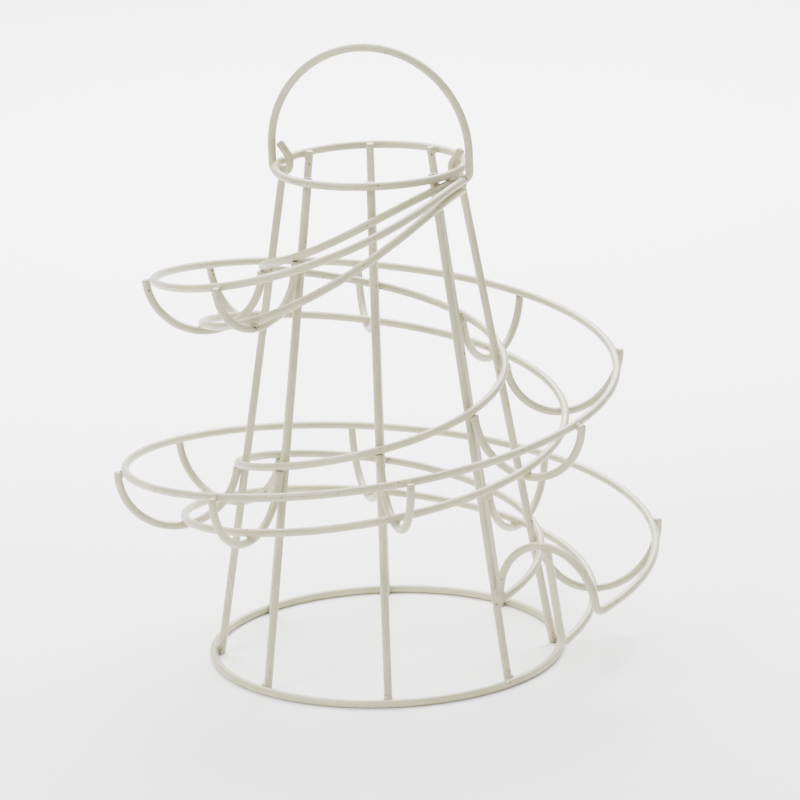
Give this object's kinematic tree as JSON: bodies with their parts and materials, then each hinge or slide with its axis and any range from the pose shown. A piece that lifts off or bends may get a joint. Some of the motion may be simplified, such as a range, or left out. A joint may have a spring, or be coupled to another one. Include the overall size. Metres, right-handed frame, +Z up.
{
  "type": "egg rack",
  "caption": "Free-standing spiral wire egg rack: a sloping three-rail track with U-shaped cradles winds around a tapering cage, with an end stop and a hooked bail handle.",
  "frame": {"origin": "centre of the base ring, on the surface the rack stands on", "axes": "+Z up through the middle of both rings, +X through the first strut and the last cradle, so that the track winds down clockwise seen from above"},
  "size_m": [0.1999, 0.1935, 0.2273],
  "materials": {
    "cream_coat": "satin cream coating on steel wire, slightly worn at the welds and cut ends"
  },
  "bodies": {
    "rack": {"base_ring": "cream_coat", "top_ring": "cream_coat", "strut_1": "cream_coat", "strut_2": "cream_coat", "strut_3": "cream_coat", "strut_4": "cream_coat", "strut_5": "cream_coat", "strut_6": "cream_coat", "strut_7": "cream_coat", "strut_8": "cream_coat", "inner_rail": "cream_coat", "outer_rail": "cream_coat", "lower_rail": "cream_coat", "cradle_01": "cream_coat", "cradle_02": "cream_coat", "cradle_03": "cream_coat", "cradle_04": "cream_coat", "cradle_05": "cream_coat", "cradle_06": "cream_coat", "cradle_07": "cream_coat", "cradle_08": "cream_coat", "cradle_09": "cream_coat", "cradle_10": "cream_coat", "cradle_11": "cream_coat", "cradle_12": "cream_coat", "cradle_13": "cream_coat", "cradle_14": "cream_coat"},
    "handle": {"handle": "cream_coat"}
  },
  "joints": [
    {"name": "handle_swing", "type": "hinge", "parent": "rack", "child": "handle", "pos_m": [0, 0, 0.183], "axis": [0.9455, -0.3256, 0], "range_deg": [-40, 40]}
  ]
}
